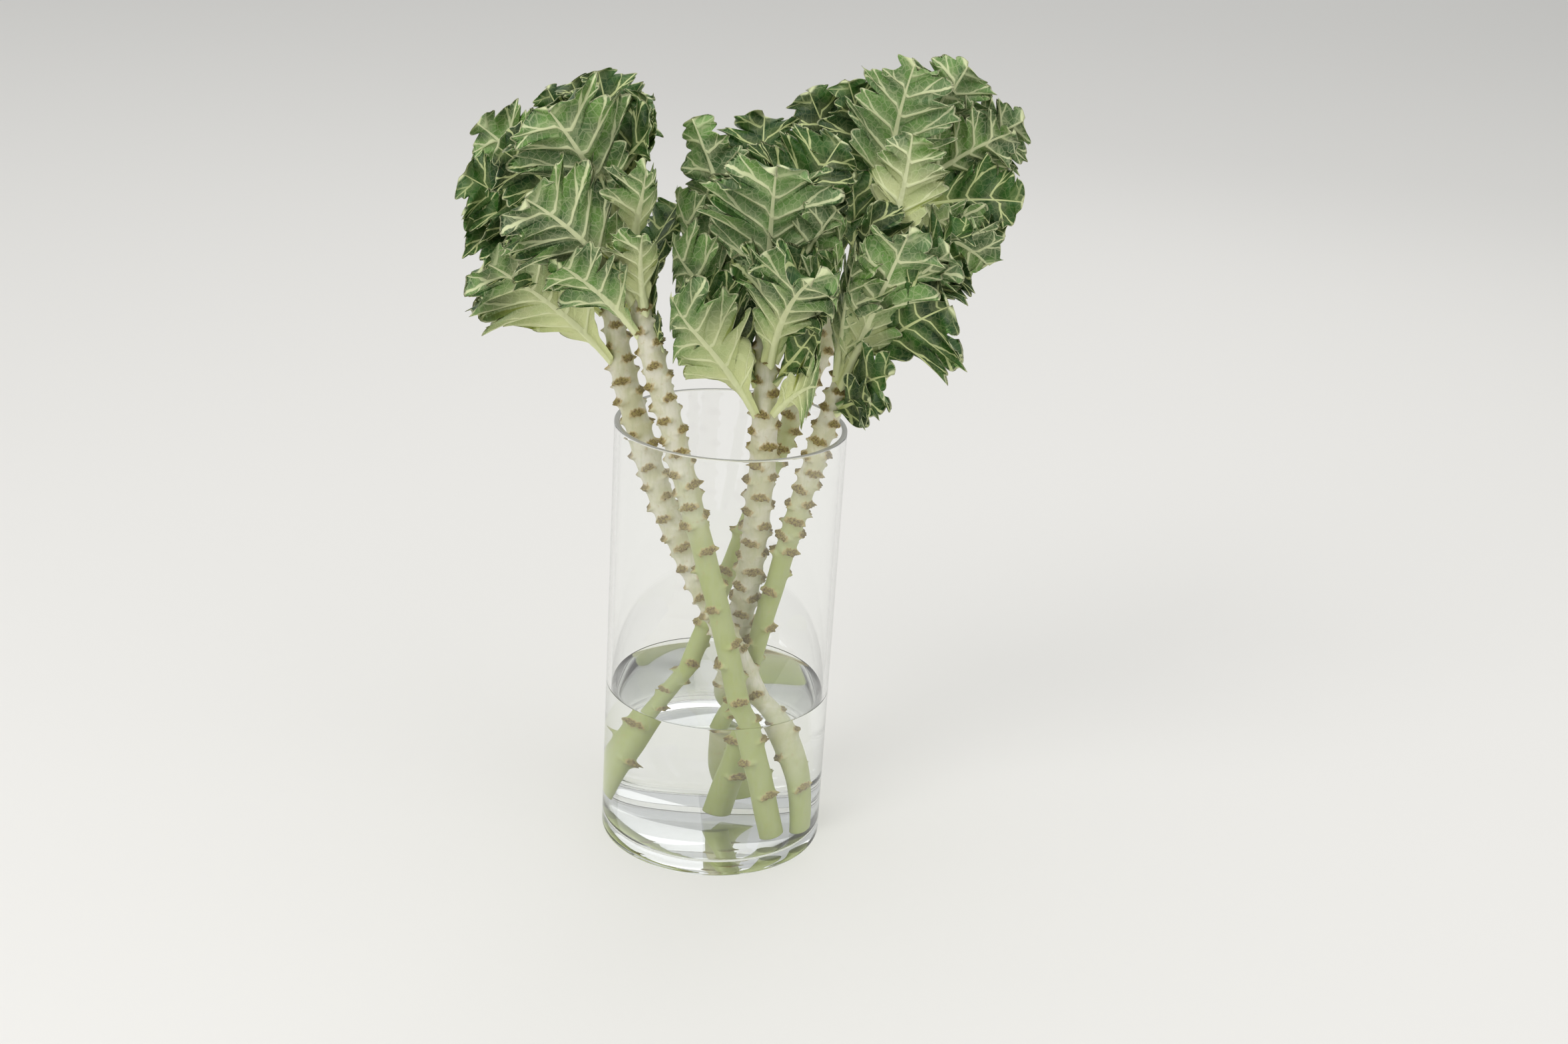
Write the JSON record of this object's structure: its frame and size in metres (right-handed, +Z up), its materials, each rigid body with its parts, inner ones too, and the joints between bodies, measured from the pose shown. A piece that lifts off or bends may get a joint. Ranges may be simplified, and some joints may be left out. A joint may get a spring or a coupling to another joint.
{
  "type": "kale bunch",
  "caption": "Cut ornamental kale stems with lobed, ruffled leaf heads and scarred pale stalks, standing in a clear straight glass cylinder vase of water.",
  "frame": {"origin": "centre of the vase's underside, on the surface it stands on", "axes": "+Z up along the vase's axis, -Y to the front, +X to the viewer's right"},
  "size_m": [0.3418, 0.2176, 0.523],
  "materials": {
    "glass": "clear polished",
    "water": "clear still water",
    "stalk": "fresh plant stalk, satin",
    "leaf": "fresh waxy leaf, satin"
  },
  "bodies": {
    "root": {"vase": "glass", "water": "water", "stalk_left_back": "stalk", "stalk_left_front": "stalk", "stalk_middle": "stalk", "stalk_right_back": "stalk", "stalk_right_front": "stalk", "leaves_left_back": "leaf", "leaves_left_front": "leaf", "leaves_middle": "leaf", "leaves_right_back": "leaf", "leaves_right_front": "leaf"}
  },
  "joints": []
}
